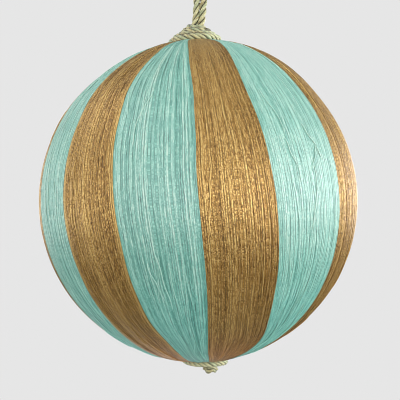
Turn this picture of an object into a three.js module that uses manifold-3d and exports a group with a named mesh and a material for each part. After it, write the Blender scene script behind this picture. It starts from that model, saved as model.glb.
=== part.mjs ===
// Thread-wound ball ornament on a hanging cord.
// A hollow two-part core with a tube down its axis is wound with flat bands of thread,
// alternately mint and gold. Every band is a closed hank: it runs over the outside of the
// core from mouth to mouth and back through the bore. A doubled cord runs down the bore to
// a knot, and coils of cord hide the two mouths. Above the ball the cord is a hanging
// loop, divided where it bends and turns.
// Millimetres, +Z up. The origin is the underside of the loop's top, where a hook bears.
// The ball's own pieces are measured from the ball's centre.
import * as THREE from 'three';
import Module from 'manifold-3d';
import { mergeVertices } from 'three/addons/utils/BufferGeometryUtils.js';

const FINISH = {
  mint: { color: 0x8fcabb, roughness: 0.55, metalness: 0.0 },
  gold: { color: 0xa27c45, roughness: 0.38, metalness: 0.45 },
  cord: { color: 0xb9b78f, roughness: 0.6, metalness: 0.1 },
  core: { color: 0xd9d4c8, roughness: 0.7, metalness: 0.0 },
  tube: { color: 0xbfa47c, roughness: 0.85, metalness: 0.0 },
};

const BALL_R = 50;            // radius over the winding at the equator
const BALL_Z = -116;          // height of the ball's centre

// ---- numbers and tables
const radians = (degrees) => (degrees * Math.PI) / 180;

function smoothStep(t) {
  const c = Math.min(1, Math.max(0, t));
  return c * c * (3 - 2 * c);
}

// straight lines between the table's points, held level beyond its ends
function lookUp(xs, ys, x) {
  if (x <= xs[0]) return ys[0];
  for (let k = 1; k < xs.length; k++) {
    if (x <= xs[k]) {
      const t = (x - xs[k - 1]) / (xs[k] - xs[k - 1]);
      return ys[k - 1] + t * (ys[k] - ys[k - 1]);
    }
  }
  return ys[ys.length - 1];
}

// a Catmull-Rom curve through evenly spaced values
function lookUpSmooth(xs, ys, x) {
  const step = xs[1] - xs[0];
  const place = Math.min(xs.length - 1.000001, Math.max(0, (x - xs[0]) / step));
  const k = Math.floor(place);
  const t = place - k;
  const valueAt = (n) => ys[Math.min(ys.length - 1, Math.max(0, n))];
  const [p0, p1, p2, p3] = [k - 1, k, k + 1, k + 2].map(valueAt);
  return 0.5 * (
    2 * p1
    + (p2 - p0) * t
    + (2 * p0 - 5 * p1 + 4 * p2 - p3) * t * t
    + (3 * p1 - p0 - 3 * p2 + p3) * t * t * t
  );
}

// ---- solids
// six times the signed volume: negative when the faces point in
function signedVolume(positions, index) {
  const point = (n) => new THREE.Vector3().fromArray(positions, index[n] * 3);
  let sum = 0;
  for (let k = 0; k < index.length; k += 3) {
    sum += point(k).dot(point(k + 1).cross(point(k + 2)));
  }
  return sum;
}

// only positions, shared vertices merged, faces pointing out
function solid(geometry) {
  geometry.deleteAttribute('normal');
  geometry.deleteAttribute('uv');
  const merged = mergeVertices(geometry, 1e-5);
  const index = Array.from(merged.index.array);
  if (signedVolume(merged.attributes.position.array, index) < 0) {
    for (let k = 0; k < index.length; k += 3) {
      [index[k + 1], index[k + 2]] = [index[k + 2], index[k + 1]];
    }
  }
  merged.setIndex(index);
  merged.computeVertexNormals();
  return merged;
}

const wasm = await Module();
wasm.setup();

function toManifold(geometry) {
  const closed = solid(geometry);
  return new wasm.Manifold(new wasm.Mesh({
    numProp: 3,
    vertProperties: new Float32Array(closed.attributes.position.array),
    triVerts: new Uint32Array(closed.index.array),
  }));
}

function fromManifold(manifold) {
  const { vertProperties, triVerts } = manifold.getMesh();
  const geometry = new THREE.BufferGeometry();
  const positions = new THREE.Float32BufferAttribute(Array.from(vertProperties), 3);
  geometry.setAttribute('position', positions);
  geometry.setIndex(Array.from(triVerts));
  return solid(geometry);
}

function joined(geometries) {
  return fromManifold(geometries.map(toManifold).reduce((sum, part) => sum.add(part)));
}

function addPiece(parent, name, geometry, finish) {
  const mesh = new THREE.Mesh(geometry, new THREE.MeshStandardMaterial(finish));
  mesh.name = name;
  parent.add(mesh);
}

// ---- the ball's offset: the sphere sits a little to -X of its bore axis
const OFF_CENTRE = 1.4;
const OFF_FULL_Z = 30;        // up to this height either side of the centre it is complete
const OFF_NONE_Z = 47;        // beyond this height there is none: the mouths stay on the axis
const OFF_NONE_R = 10;        // within this radius there is none
const OFF_FADE_R = 10;        // it grows to its full size over this much more radius

function offsetX(x, y, z) {
  const heightShare = 1 - smoothStep((Math.abs(z) - OFF_FULL_Z) / (OFF_NONE_Z - OFF_FULL_Z));
  const radiusShare = smoothStep((Math.hypot(x, y) - OFF_NONE_R) / OFF_FADE_R);
  return x - OFF_CENTRE * heightShare * radiusShare;
}

// ---- the winding
const WIND_BASE = 0.35;       // thickness is WIND_BASE + WIND_PILE * BALL_R / radius
const WIND_PILE = 0.55;
const WIND_MIN_R = 8;         // the thickness stops growing within this radius
const BAND_GAP = 0.3;         // between neighbouring bands
const BAND_COUNT = 14;
const BAND_FLATS = 3;         // flats across a band
const LINING_R = 3.2;         // free radius of the bore inside the thread lining
const LINING_R_OUT = 7.6;
const OUTSIDE_STEPS = 17;     // from mouth to mouth
const OUTSIDE_LAT = 78;       // latitude of the first and last outside stations
const LIP_LAT = 80;           // latitude whose edges the lips follow
const BOTTOM_LIP_RISE = 0.5;  // the lower lip's outer side is this much shallower

// winding build-up above BALL_R against the angle from the pole
const RISE_ANGLE = [0, 10, 16, 23, 30, 36, 42, 48, 55, 62, 90];
const RISE_TOP = [1.2, 1.15, 1.0, 0.78, 0.52, 0.42, 0.32, 0.18, 0.05, 0, 0];
const RISE_BOTTOM = [0.6, 0.55, 0.4, 0.28, 0.12, 0.04, 0, 0, 0, 0, 0];

// upper lip, from the outside into the bore: outer side r, z, then core side r, z
const LIP = [
  [8.2, 50.3, 8.7, 46.6],
  [6.0, 50.45, 7.95, 45.9],
  [4.3, 49.6, LINING_R_OUT, 44.9],
  [3.4, 47.8, LINING_R_OUT, 43.9],
  [LINING_R, 45.5, LINING_R_OUT, 42.9],
];

// edges between bands, one a row: longitude at each latitude of EDGE_LAT.
// Longitude 0 faces -Y and turns towards +X.
const EDGE_LAT = [-80, -60, -40, -20, 0, 20, 40, 60, 80];
const EDGES = [
  [-70.0, -70.0, -69.8, -70.2, -70.5, -71.0, -72.0, -74.0, -76.0],
  [-47.9, -47.9, -47.3, -48.3, -49.2, -49.5, -50.0, -51.9, -51.9],
  [-20.9, -21.4, -23.4, -25.1, -26.6, -27.7, -28.3, -28.5, -28.5],
  [-1.7, -0.4, 2.1, 1.4, 0.0, -0.4, -0.5, -4.8, -10.7],
  [35.5, 35.1, 29.5, 26.5, 24.6, 22.9, 21.1, 21.1, 22.6],
  [58.0, 56.5, 55.6, 54.5, 53.5, 53.1, 52.3, 48.5, 46.6],
  [84.0, 83.0, 82.0, 81.0, 80.0, 79.5, 79.0, 78.0, 76.0],
  [104.0, 105.0, 106.0, 106.4, 106.5, 106.3, 105.8, 105.0, 104.0],
  [135.0, 134.0, 133.0, 132.4, 132.0, 131.6, 131.0, 130.0, 128.5],
  [158.0, 158.2, 158.6, 158.9, 158.8, 158.5, 158.3, 158.6, 159.0],
  [187.0, 186.2, 185.5, 185.0, 184.6, 184.0, 183.4, 182.5, 182.0],
  [210.0, 210.4, 211.0, 211.4, 211.4, 211.0, 210.5, 210.0, 209.0],
  [239.0, 238.5, 237.8, 237.3, 237.0, 236.8, 236.2, 235.0, 234.0],
  [263.0, 263.4, 263.6, 263.5, 263.4, 263.0, 262.4, 261.5, 260.5],
  [290.0, 290.0, 290.2, 289.8, 289.5, 289.0, 288.0, 286.0, 284.0],
];

// the winding's outer and inner radius at an angle from the pole
function windingAt(angle, isTop) {
  const outer = BALL_R + lookUp(RISE_ANGLE, isTop ? RISE_TOP : RISE_BOTTOM, angle);
  const axisR = Math.max(WIND_MIN_R, outer * Math.sin(radians(angle)));
  return { outer, inner: outer - (WIND_BASE + (WIND_PILE * BALL_R) / axisR) };
}

// stations round a hank's loop: [r, z] of its outer and core sides, and where to read its
// edges, either at one latitude or, in the bore, as a blend between the two mouths
function hankStations() {
  const stations = [];
  for (let k = 0; k <= OUTSIDE_STEPS; k++) {
    const lat = OUTSIDE_LAT - (2 * OUTSIDE_LAT * k) / OUTSIDE_STEPS;
    const { outer, inner } = windingAt(90 - Math.abs(lat), lat > 0);
    const [cos, sin] = [Math.cos(radians(lat)), Math.sin(radians(lat))];
    stations.push({ outer: [outer * cos, outer * sin], core: [inner * cos, inner * sin], lat });
  }
  for (const [outerR, outerZ, coreR, coreZ] of LIP) {
    const outer = [outerR, -outerZ + BOTTOM_LIP_RISE];
    stations.push({ outer, core: [coreR, -coreZ], lat: -LIP_LAT });
  }
  for (const f of [-0.5, 0, 0.5]) {
    const bottomShare = (1 - f) / 2;
    stations.push({ outer: [LINING_R, 45 * f], core: [LINING_R_OUT, 43 * f], bottomShare });
  }
  for (const [outerR, outerZ, coreR, coreZ] of [...LIP].reverse()) {
    stations.push({ outer: [outerR, outerZ], core: [coreR, coreZ], lat: LIP_LAT });
  }
  return stations;
}
const STATIONS = hankStations();

function edgeLongitude(edge, { lat, bottomShare }) {
  const at = (latitude) => lookUpSmooth(EDGE_LAT, EDGES[edge], latitude);
  if (bottomShare === undefined) return at(lat);
  return at(LIP_LAT) * (1 - bottomShare) + at(-LIP_LAT) * bottomShare;
}

// a torus lends its closed grid; every one of its points is moved
function bandGeometry(band) {
  const sectionPoints = 2 * (BAND_FLATS + 1);
  const geometry = new THREE.TorusGeometry(40, 5, sectionPoints, STATIONS.length);
  const points = geometry.attributes.position;
  for (let j = 0; j <= sectionPoints; j++) {
    // each section crosses the outer side, then comes back along the core side
    const n = j % sectionPoints;
    const isOuter = n <= BAND_FLATS;
    const across = (isOuter ? n : sectionPoints - 1 - n) / BAND_FLATS;
    for (let i = 0; i <= STATIONS.length; i++) {
      const station = STATIONS[i % STATIONS.length];
      const [r, z] = isOuter ? station.outer : station.core;
      const trim = (BAND_GAP / 2 / r) * (180 / Math.PI);
      const start = edgeLongitude(band, station) + trim;
      const end = edgeLongitude(band + 1, station) - trim;
      const longitude = radians(start + across * (end - start));
      const x = r * Math.sin(longitude);
      const y = -r * Math.cos(longitude);
      points.setXYZ(j * (STATIONS.length + 1) + i, offsetX(x, y, z), y, z);
    }
  }
  return solid(geometry);
}

function addWinding(ball) {
  for (let k = 0; k < BAND_COUNT; k++) {
    const colour = k % 2 === 0 ? 'mint' : 'gold';
    const name = `${colour}_band_${Math.floor(k / 2) + 1}`;
    addPiece(ball, name, bandGeometry(k), FINISH[colour]);
  }
}

// ---- the core: two half shells that meet at the equator, round a tube
const CORE_SEGMENTS = 24;
const CORE_GAP = 0.45;        // between the winding and the core
const CORE_WALL = 1.3;
const CORE_BORE_R = 9.25;
const MOUTH_OUT_Z = 46.0;     // outer and inner edges of the shell's mouth
const MOUTH_IN_Z = 44.2;
const SHELL_ANGLES = [14, 25, 38, 51, 64, 77]; // from the pole
const JOINT_HALF_GAP = 0.2;
const SPIGOT_H = 3;           // height of the lower half's spigot above the joint line
const SPIGOT_T = 1.2;
const SPIGOT_GAP = 0.3;
const SPIGOT_TAPER = 0.06;    // drawn in at its top
const SPIGOT_ROOT_INSET = 0.15;
const SOCKET_TAPER = 0.04;    // the upper half's wall round the spigot
const SOCKET_CLEARANCE = 0.6; // above the spigot
const TUBE_R_IN = 7.9;
const TUBE_R_OUT = 8.9;
const TUBE_HALF = 44.6;

// a closed [r, z] outline turned about the axis
function turned(outline) {
  const points = [...outline, outline[0]].map(([r, z]) => new THREE.Vector2(r, z));
  const geometry = new THREE.LatheGeometry(points, CORE_SEGMENTS);
  geometry.rotateX(Math.PI / 2);
  const p = geometry.attributes.position;
  for (let k = 0; k < p.count; k++) p.setX(k, offsetX(p.getX(k), p.getY(k), p.getZ(k)));
  return solid(geometry);
}

function shellOutline(isTop) {
  const up = isTop ? 1 : -1;
  const coreRadius = (angle) => windingAt(angle, isTop).inner - CORE_GAP;
  const arc = (inset) => SHELL_ANGLES.map((angle) => {
    const R = coreRadius(angle) - inset;
    return [R * Math.sin(radians(angle)), up * R * Math.cos(radians(angle))];
  });
  const rim = coreRadius(90);
  const wall = rim - CORE_WALL;
  const spigotR = wall - SPIGOT_GAP;
  const socket = [
    [wall, JOINT_HALF_GAP],
    [wall - SOCKET_TAPER, SPIGOT_H + SOCKET_CLEARANCE],
  ];
  const spigot = [
    [spigotR, -JOINT_HALF_GAP],
    [spigotR - SPIGOT_TAPER, SPIGOT_H],
    [spigotR - SPIGOT_T, SPIGOT_H],
    [spigotR - SPIGOT_T, -SPIGOT_H],
    [wall - SPIGOT_ROOT_INSET, -SPIGOT_H],
  ];
  return [
    [CORE_BORE_R, up * MOUTH_OUT_Z],
    ...arc(0),
    [rim, up * JOINT_HALF_GAP],
    ...(isTop ? socket : spigot),
    ...arc(CORE_WALL).reverse(),
    [CORE_BORE_R, up * MOUTH_IN_Z],
  ];
}

function addCore(ball) {
  addPiece(ball, 'core_upper_shell', turned(shellOutline(true)), FINISH.core);
  addPiece(ball, 'core_lower_shell', turned(shellOutline(false)), FINISH.core);
  const tube = turned([
    [TUBE_R_IN, -TUBE_HALF],
    [TUBE_R_OUT, -TUBE_HALF],
    [TUBE_R_OUT, TUBE_HALF],
    [TUBE_R_IN, TUBE_HALF],
  ]);
  addPiece(ball, 'bore_tube', tube, FINISH.tube);
}

// ---- the mouth coils and the knot, from the ball's centre
const COIL_SIDES = 7;
const TOP_COIL = {
  r0: 6.9, r1: 3.25, z0: 51.6, z1: 54.9, turns: 3, start: 200, cordR: 0.78, steps: 42,
};
const BOTTOM_COIL = {
  r0: 4.85, r1: 2.95, z0: -51.25, z1: -51.9, turns: 1.25, start: 20, cordR: 0.7, steps: 19,
};
const KNOT = { halfX: 2.2, halfY: 2.024, halfZ: 1.1875, x: 0.2, z: -53.2 };

// a regular polygon with flats square to its axes, swept along a path
function swept(path, radius, steps, sides) {
  const corners = [];
  for (let k = 0; k < sides; k++) {
    const angle = ((k + 0.5) / sides) * 2 * Math.PI;
    corners.push(new THREE.Vector2(radius * Math.cos(angle), radius * Math.sin(angle)));
  }
  const section = new THREE.Shape(corners);
  return new THREE.ExtrudeGeometry(section, { steps, extrudePath: path, bevelEnabled: false });
}

// a conical spiral from r0, z0 to r1, z1, its start in degrees from +X
class Spiral extends THREE.Curve {
  constructor(coil) {
    super();
    this.coil = coil;
  }

  getPoint(t) {
    const { r0, r1, z0, z1, turns, start } = this.coil;
    const angle = radians(start) + t * turns * 2 * Math.PI;
    const r = r0 + (r1 - r0) * t;
    return new THREE.Vector3(r * Math.cos(angle), r * Math.sin(angle), z0 + (z1 - z0) * t);
  }
}

function coilGeometry(coil) {
  return solid(swept(new Spiral(coil), coil.cordR, coil.steps, COIL_SIDES));
}

function knotGeometry() {
  const knot = new THREE.SphereGeometry(1, 12, 8);
  knot.rotateX(Math.PI / 2);
  knot.scale(KNOT.halfX, KNOT.halfY, KNOT.halfZ);
  knot.translate(KNOT.x, 0, KNOT.z);
  return solid(knot);
}

// ---- the doubled cord, from the origin
const CORD_R = 1.02;          // one leg of the doubled cord
const CORD_SIDES = 8;
const CORD_FLAT_R = CORD_R * Math.cos(Math.PI / CORD_SIDES); // from its middle to a flat
const INNER_CORD_R = CORD_R * 0.98;
const INNER_END_Z = BALL_Z - 51.4;
const LEG_X = 0.92;           // half the distance between the two legs
const TIP_R = 2.0;            // rounded end at a bending point
const TIP_GAP = 0.5;
const SWING_SIDE_Z = -16;     // the bending points
const SWING_FRONT_Z = -24;
const NECK_Z = -56.5;
const TWIST_Z = -30;          // the turning point
const TWIST_GAP = 0.8;

// the middle line of the doubled cord: x against z
const LEAN_Z = [-170, -66, -61, -59.7, -56.5, -52.8, -48, -42, -34, -30, -27, -24.5, -10];
const LEAN_X = [0, 0, 0.12, 0.5, 1.2, 1.8, 2.2, 2.1, 1.2, 0.7, 0.3, 0, 0];

// left half of the loop's open head, [x, z] of the cord's middle from the legs up:
// ends and handles of a line, two curves, and half of the flat that bears on the hook
const ARCH_HALF = 4.8;
const ARCH_LEFT = [
  [-LEG_X, SWING_SIDE_Z],
  [-LEG_X, -14], [-LEG_X, -10.5], [-ARCH_HALF, -8.5],
  [-ARCH_HALF, -4.2], [-ARCH_HALF, -1.2], [-3.9, CORD_FLAT_R],
  [-1.6, CORD_FLAT_R],
];

class Leg extends THREE.Curve {
  constructor(topZ, bottomZ, side) {
    super();
    this.topZ = topZ;
    this.bottomZ = bottomZ;
    this.side = side;
  }

  getPoint(t) {
    const z = this.topZ + (this.bottomZ - this.topZ) * t;
    return new THREE.Vector3(lookUp(LEAN_Z, LEAN_X, z) + this.side * LEG_X, 0, z);
  }
}

function legs(topZ, bottomZ, steps, radius = CORD_R) {
  return [-1, 1].map((side) => swept(new Leg(topZ, bottomZ, side), radius, steps, CORD_SIDES));
}

function tip(z) {
  const ball = new THREE.SphereGeometry(TIP_R, 12, 6);
  ball.rotateX(Math.PI / 2);
  ball.translate(lookUp(LEAN_Z, LEAN_X, z), 0, z);
  return ball;
}
const belowTip = (z) => z - TIP_R - TIP_GAP;

function headGeometry() {
  const right = [...ARCH_LEFT].reverse().map(([x, z]) => [-x, z]);
  const points = [...ARCH_LEFT, ...right].map(([x, z]) => new THREE.Vector3(x, 0, z));
  const path = new THREE.CurvePath();
  const line = (k) => path.add(new THREE.LineCurve3(...points.slice(k, k + 2)));
  const curve = (k) => path.add(new THREE.CubicBezierCurve3(...points.slice(k, k + 4)));
  line(0);
  curve(1);
  curve(4);
  line(7);
  curve(8);
  curve(11);
  line(14);
  return joined([swept(path, CORD_R, 27, CORD_SIDES), tip(SWING_SIDE_Z)]);
}

function addHangingCord(hanging) {
  const link = [...legs(belowTip(SWING_SIDE_Z), SWING_FRONT_Z, 2), tip(SWING_FRONT_Z)];
  const upper = legs(belowTip(SWING_FRONT_Z), TWIST_Z + TWIST_GAP / 2, 2);
  const lower = [...legs(TWIST_Z - TWIST_GAP / 2, NECK_Z, 7), tip(NECK_Z)];
  addPiece(hanging, 'loop_head', headGeometry(), FINISH.cord);
  addPiece(hanging, 'cord_link', joined(link), FINISH.cord);
  addPiece(hanging, 'cord_upper', joined(upper), FINISH.cord);
  addPiece(hanging, 'cord_lower', joined(lower), FINISH.cord);
}

function addBallCords(ball) {
  addPiece(ball, 'rosette_top_coil', coilGeometry(TOP_COIL), FINISH.cord);
  addPiece(ball, 'rosette_bottom_coil', coilGeometry(BOTTOM_COIL), FINISH.cord);
  addPiece(ball, 'end_knot', knotGeometry(), FINISH.cord);
  const inner = legs(belowTip(NECK_Z), INNER_END_Z, 14, INNER_CORD_R);
  for (const leg of inner) leg.translate(0, 0, -BALL_Z);
  addPiece(ball, 'cord_inner', joined(inner), FINISH.cord);
}

const hanging = new THREE.Group();
addHangingCord(hanging);

const ball = new THREE.Group();
ball.position.z = BALL_Z;
addWinding(ball);
addCore(ball);
addBallCords(ball);

const ornament = new THREE.Group();
ornament.name = 'ornament';
ornament.add(hanging, ball);
export default ornament;
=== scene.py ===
# A thread-wound ball ornament on its doubled hanging cord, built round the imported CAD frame.
# The frame is in metres, +Z up, with the hang point at the origin and the ball's centre below
# it; the front faces -Y and the bore runs along Z. The builders work in millimetres from the
# ball's centre, and to_m() turns those into the frame's metres.
import math

import bpy
import numpy as np
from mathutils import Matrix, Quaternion, Vector


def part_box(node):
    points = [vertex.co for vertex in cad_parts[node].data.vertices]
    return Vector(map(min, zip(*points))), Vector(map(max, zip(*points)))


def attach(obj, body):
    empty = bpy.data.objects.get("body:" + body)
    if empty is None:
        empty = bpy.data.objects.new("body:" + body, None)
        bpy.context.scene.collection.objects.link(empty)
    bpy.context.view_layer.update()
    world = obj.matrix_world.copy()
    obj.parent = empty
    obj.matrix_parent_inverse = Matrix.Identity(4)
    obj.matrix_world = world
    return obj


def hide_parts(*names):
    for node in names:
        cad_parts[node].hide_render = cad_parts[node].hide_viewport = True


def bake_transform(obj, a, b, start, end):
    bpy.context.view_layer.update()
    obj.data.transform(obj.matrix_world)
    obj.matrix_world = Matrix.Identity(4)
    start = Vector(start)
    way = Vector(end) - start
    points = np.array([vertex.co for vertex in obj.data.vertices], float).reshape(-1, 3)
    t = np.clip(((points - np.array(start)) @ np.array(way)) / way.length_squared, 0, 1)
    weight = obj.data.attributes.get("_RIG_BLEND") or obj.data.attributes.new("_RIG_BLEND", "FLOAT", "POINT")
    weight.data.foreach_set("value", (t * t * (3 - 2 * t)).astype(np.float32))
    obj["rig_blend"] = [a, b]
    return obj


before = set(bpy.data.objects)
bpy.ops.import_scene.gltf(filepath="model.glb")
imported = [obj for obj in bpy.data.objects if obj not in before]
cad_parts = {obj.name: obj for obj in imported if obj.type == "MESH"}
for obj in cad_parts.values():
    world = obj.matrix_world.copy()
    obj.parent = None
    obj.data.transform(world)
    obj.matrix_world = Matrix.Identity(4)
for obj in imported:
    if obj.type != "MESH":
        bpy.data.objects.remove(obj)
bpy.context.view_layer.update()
scene = bpy.context.scene

# ------------------------------------------------------------------ shared dimensions, mm
tube_low, tube_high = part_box("bore_tube")
BALL_Z = (tube_low.z + tube_high.z) / 2  # metres; the tube is centred on the ball
HANG_Z = -BALL_Z * 1000  # the hang point's height above the ball's centre
BALL_R = 50.0
OFF_CENTRE = 1.4  # sideways shift of the wound sphere, towards -X
OFF_FULL_Z, OFF_NONE_Z = 30.0, 47.0  # the shift is full below one height, gone above the other
WIND_BASE, WIND_PILE = 0.35, 0.55  # winding thickness: fixed part, and part growing to the poles
LINING_R, LINING_R_OUT = 3.2, 7.6  # exposed and core sides of the thread lining the bore
LINING_TOP, LINING_TOP_OUT = 45.5, 42.9  # their heights where the upper lip starts
LOWER_LIP_RISE = 0.5  # the lower lip's exposed side is this much nearer the centre

# how far the surface stands above BALL_R, by angle from the nearer pole in degrees
RISE_ANGLE = [0, 10, 16, 23, 30, 36, 42, 48, 55, 62, 90]
RISE_TOP = [0.95, 0.88, 0.84, 0.76, 0.52, 0.42, 0.32, 0.18, 0.05, 0, 0]
RISE_BOTTOM = [0.6, 0.55, 0.4, 0.28, 0.12, 0.04, 0, 0, 0, 0, 0]

# edges between bands: a row per edge, its longitude in degrees at each latitude of EDGE_LAT;
# longitude is 0 at the front and grows towards +X
EDGE_LAT = np.array([-80, -60, -40, -20, 0, 20, 40, 60, 80], float)
EDGES = np.array([
    [-70.0, -70.0, -69.8, -70.2, -70.5, -71.0, -72.0, -74.0, -76.0],
    [-47.9, -47.9, -47.3, -48.3, -49.2, -49.5, -50.0, -51.9, -51.9],
    [-19.4, -19.2, -23.4, -25.1, -26.6, -27.7, -28.3, -28.5, -28.5],
    [6.0, 2.5, 2.1, 1.4, 0.0, -0.4, -0.5, -4.8, -10.7],
    [36.5, 36.6, 29.5, 26.5, 24.6, 22.9, 21.1, 21.1, 22.6],
    [58.0, 56.5, 55.6, 54.5, 53.5, 53.1, 52.3, 48.5, 46.6],
    [84.0, 83.0, 82.0, 81.0, 80.0, 79.5, 79.0, 78.0, 76.0],
    [104.0, 105.0, 106.0, 106.4, 106.5, 106.3, 105.8, 105.0, 104.0],
    [135.0, 134.0, 133.0, 132.4, 132.0, 131.6, 131.0, 130.0, 128.5],
    [158.0, 158.2, 158.6, 158.9, 158.8, 158.5, 158.3, 158.6, 159.0],
    [187.0, 186.2, 185.5, 185.0, 184.6, 184.0, 183.4, 182.5, 182.0],
    [210.0, 210.4, 211.0, 211.4, 211.4, 211.0, 210.5, 210.0, 209.0],
    [239.0, 238.5, 237.8, 237.3, 237.0, 236.8, 236.2, 235.0, 234.0],
    [263.0, 263.4, 263.6, 263.5, 263.4, 263.0, 262.4, 261.5, 260.5],
    [290.0, 290.0, 290.2, 289.8, 289.5, 289.0, 288.0, 286.0, 284.0],
])
BANDS = len(EDGES) - 1  # even ones mint, odd ones gold


# ------------------------------------------------------------------ curves and placing
def to_m(points):
    """Millimetres from the ball's centre to metres in the frame."""
    metres = np.asarray(points, float) * 0.001
    metres[..., 2] += BALL_Z
    return metres


def smooth(part):
    part = np.clip(part, 0, 1)
    return part * part * (3 - 2 * part)


def cubic(before, start, end, after, part):
    """Catmull-Rom value, part (0 to 1) of the way from start to end."""
    return 0.5 * (
        2 * start
        + (end - before) * part
        + (2 * before - 5 * start + 4 * end - after) * part**2
        + (3 * start - before - 3 * end + after) * part**3
    )


def edge_at(edge, lat):
    """Longitude of a band edge at each latitude."""
    last = len(EDGE_LAT) - 1
    station = np.clip((lat - EDGE_LAT[0]) / (EDGE_LAT[1] - EDGE_LAT[0]), 0, last + 1 - 1e-6)
    first = np.floor(station).astype(int)
    around = (EDGES[edge][np.clip(first + k, 0, last)] for k in (-1, 0, 1, 2))
    return cubic(*around, station - first)


def curve_through(points, per):
    """Catmull-Rom through rows of points, per steps a segment, both ends kept."""
    keys = np.asarray(points, float)
    keys = np.vstack([2 * keys[0] - keys[1], keys, 2 * keys[-1] - keys[-2]])
    part = (np.arange(per) / per)[:, None]
    out = [cubic(*keys[k - 1:k + 3], part) for k in range(1, len(keys) - 2)]
    return np.vstack([*out, keys[-2][None]])


def wander(rng, count, length, reach):
    """Smooth random walks, a row each, over positions length (mm): about unit size,
    changing over reach mm."""
    knots = int(math.ceil((length.max() - length.min()) / reach)) + 4
    values = rng.normal(size=(count, knots))
    station = (length - length.min()) / reach + 1 + 1e-9
    first = np.floor(station).astype(int)
    around = (values[:, np.minimum(first + k, knots - 1)] for k in (-1, 0, 1, 2))
    return cubic(*around, (station - first)[None])


def unit(vectors):
    return vectors / np.linalg.norm(vectors, axis=1)[:, None]


def distance_along(path):
    return np.concatenate([[0], np.cumsum(np.linalg.norm(np.diff(path, axis=0), axis=1))])


def frames_along(path):
    """Tangents, turning-free normals and binormals along a path."""
    tangent = unit(np.gradient(path, axis=0))
    normal = np.zeros_like(tangent)
    previous = np.array((1.0, 0, 0))
    for k, ahead in enumerate(tangent):
        flat = previous - (previous @ ahead) * ahead
        normal[k] = previous = flat / np.linalg.norm(flat)
    return tangent, normal, np.cross(tangent, normal)


def off_axis(x, y, z):
    """x shifted with the off-centre sphere; the shift dies away at the top and by the bore."""
    radius = np.hypot(x, y)
    weight = 1 - smooth((z - OFF_FULL_Z) / (OFF_NONE_Z - OFF_FULL_Z))
    from_bore = (radius - np.where(z < 0, 6, 10)) / np.where(z < 0, 8, 10)
    return x - OFF_CENTRE * weight * smooth(from_bore)


def place(radius, longitude, z):
    radius, longitude, z = np.broadcast_arrays(radius, longitude, z)
    angle = np.radians(longitude)
    x, y = radius * np.sin(angle), -radius * np.cos(angle)
    return np.stack([off_axis(x, y, z), y, z], -1)


# ------------------------------------------------------------------ mesh helpers
def tube_quads(rows, sides, closed=False):
    """Faces of a tube of vertex rings; closed joins the last ring to the first."""
    row = np.arange(rows if closed else rows - 1)[:, None]
    side = np.arange(sides)
    low, high = row * sides, (row + 1) % rows * sides
    after = (side + 1) % sides
    return np.stack([low + side, low + after, high + after, high + side], -1).reshape(-1, 4)


def tube_uvs(left, right, bottom, top):
    """UV corners in the order of tube_quads; the arguments broadcast to rows by sides."""
    left, right, bottom, top = np.broadcast_arrays(left, right, bottom, top)
    corners = [(left, bottom), (right, bottom), (right, top), (left, top)]
    return np.stack([np.stack(corner, -1) for corner in corners], 2).reshape(-1, 4, 2)


def inside_out(verts, quads):
    first, second, third, fourth = (verts - verts.mean(0))[quads.T]
    return np.sum(first * (np.cross(second, third) + np.cross(third, fourth))) < 0


def face_out(verts, quads, uvs):
    if inside_out(verts, quads):
        return quads[:, ::-1], uvs[:, ::-1]
    return quads, uvs


def mesh_object(name, verts, quads, uvs, material, attributes, tris=()):
    """A smooth mesh from verts in mm; uvs run over the quads' corners, then the tris'."""
    mesh = bpy.data.meshes.new(name)
    quad_count, tri_count = len(quads), len(tris)
    mesh.vertices.add(len(verts))
    mesh.vertices.foreach_set("co", np.asarray(to_m(verts), np.float32).ravel())
    mesh.loops.add(quad_count * 4 + tri_count * 3)
    loops = np.concatenate([np.asarray(faces, np.int32).ravel() for faces in (quads, tris)])
    mesh.loops.foreach_set("vertex_index", loops)
    mesh.polygons.add(quad_count + tri_count)
    starts = np.concatenate([np.arange(quad_count) * 4, quad_count * 4 + np.arange(tri_count) * 3])
    mesh.polygons.foreach_set("loop_start", starts.astype(np.int32))
    mesh.polygons.foreach_set("use_smooth", np.ones(quad_count + tri_count, bool))
    layer = mesh.uv_layers.new(name="OFBake")
    layer.data.foreach_set("uv", np.asarray(uvs, np.float32).ravel())
    mesh.update(calc_edges=True)
    mesh.validate(verbose=False)
    for key, values in attributes.items():
        attribute = mesh.attributes.new(key, "FLOAT", "POINT")
        attribute.data.foreach_set("value", np.asarray(values, np.float32).ravel())
    piece = bpy.data.objects.new(name, mesh)
    scene.collection.objects.link(piece)
    mesh.materials.append(material)
    return piece


def label(replaced=None):
    """Hides the CAD node a piece replaces, if any."""
    if replaced:
        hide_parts(replaced)


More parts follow.
